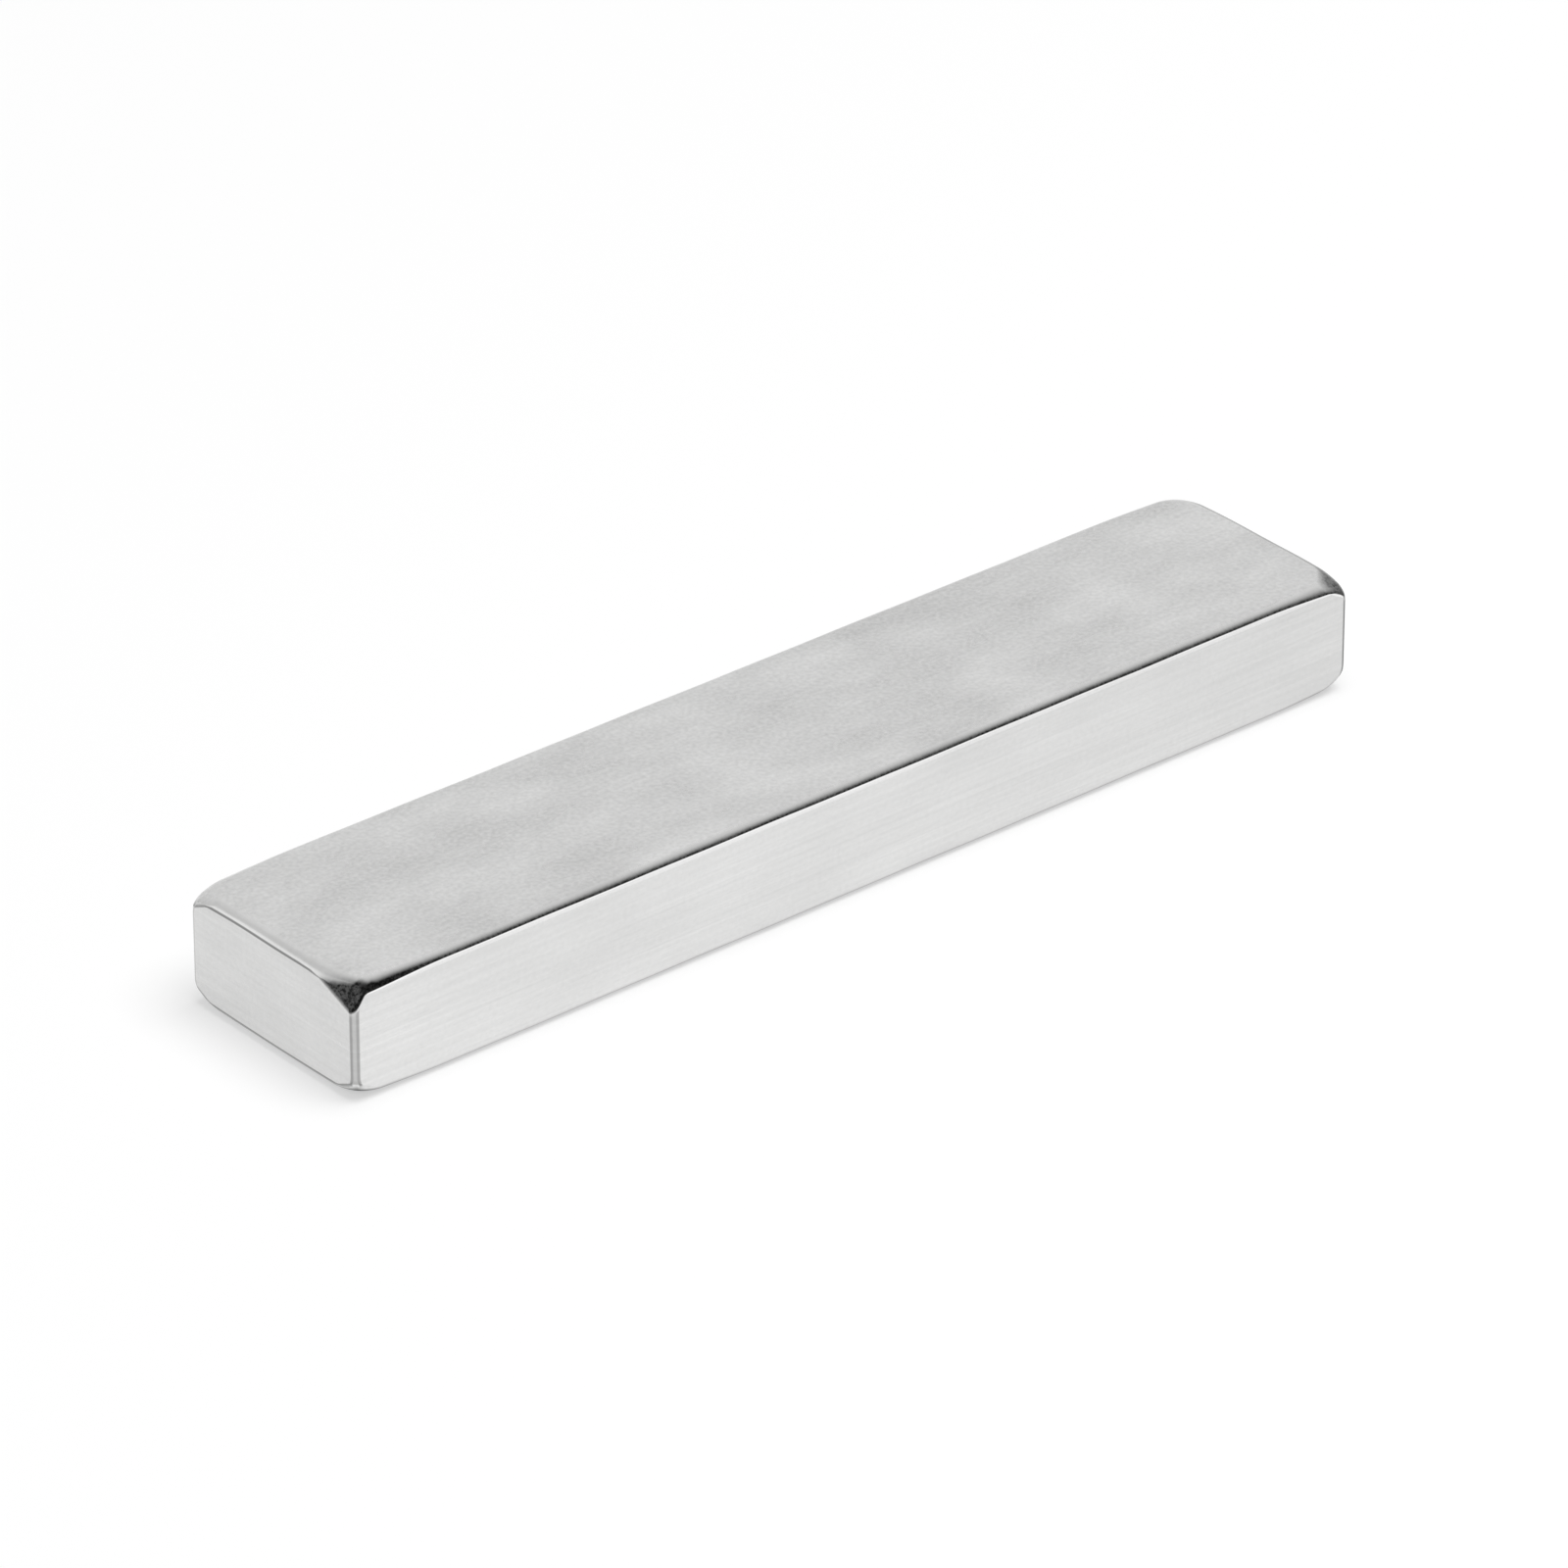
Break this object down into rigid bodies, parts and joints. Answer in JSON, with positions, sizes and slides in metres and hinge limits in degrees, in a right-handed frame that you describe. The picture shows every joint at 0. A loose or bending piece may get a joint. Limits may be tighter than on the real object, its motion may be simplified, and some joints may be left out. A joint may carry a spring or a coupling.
{
  "type": "block magnet",
  "caption": "Small long flat block magnet, bright nickel finish, with two flat pole faces, fine ground sides and corners worn round by tumbling.",
  "frame": {"origin": "centre of the bottom pole face, on the surface that the magnet lies on", "axes": "+X along the length, +Y across the width, +Z through the thickness and out of the top pole face, the way the magnet is magnetised"},
  "size_m": [0.02, 0.004, 0.002],
  "materials": {
    "nickel_plate": "bright nickel plating over a ground surface: satin pole faces, fine grinding lines along the sides, darker and grainier on the worn corners"
  },
  "bodies": {
    "root": {"block_magnet": "nickel_plate"}
  },
  "joints": []
}
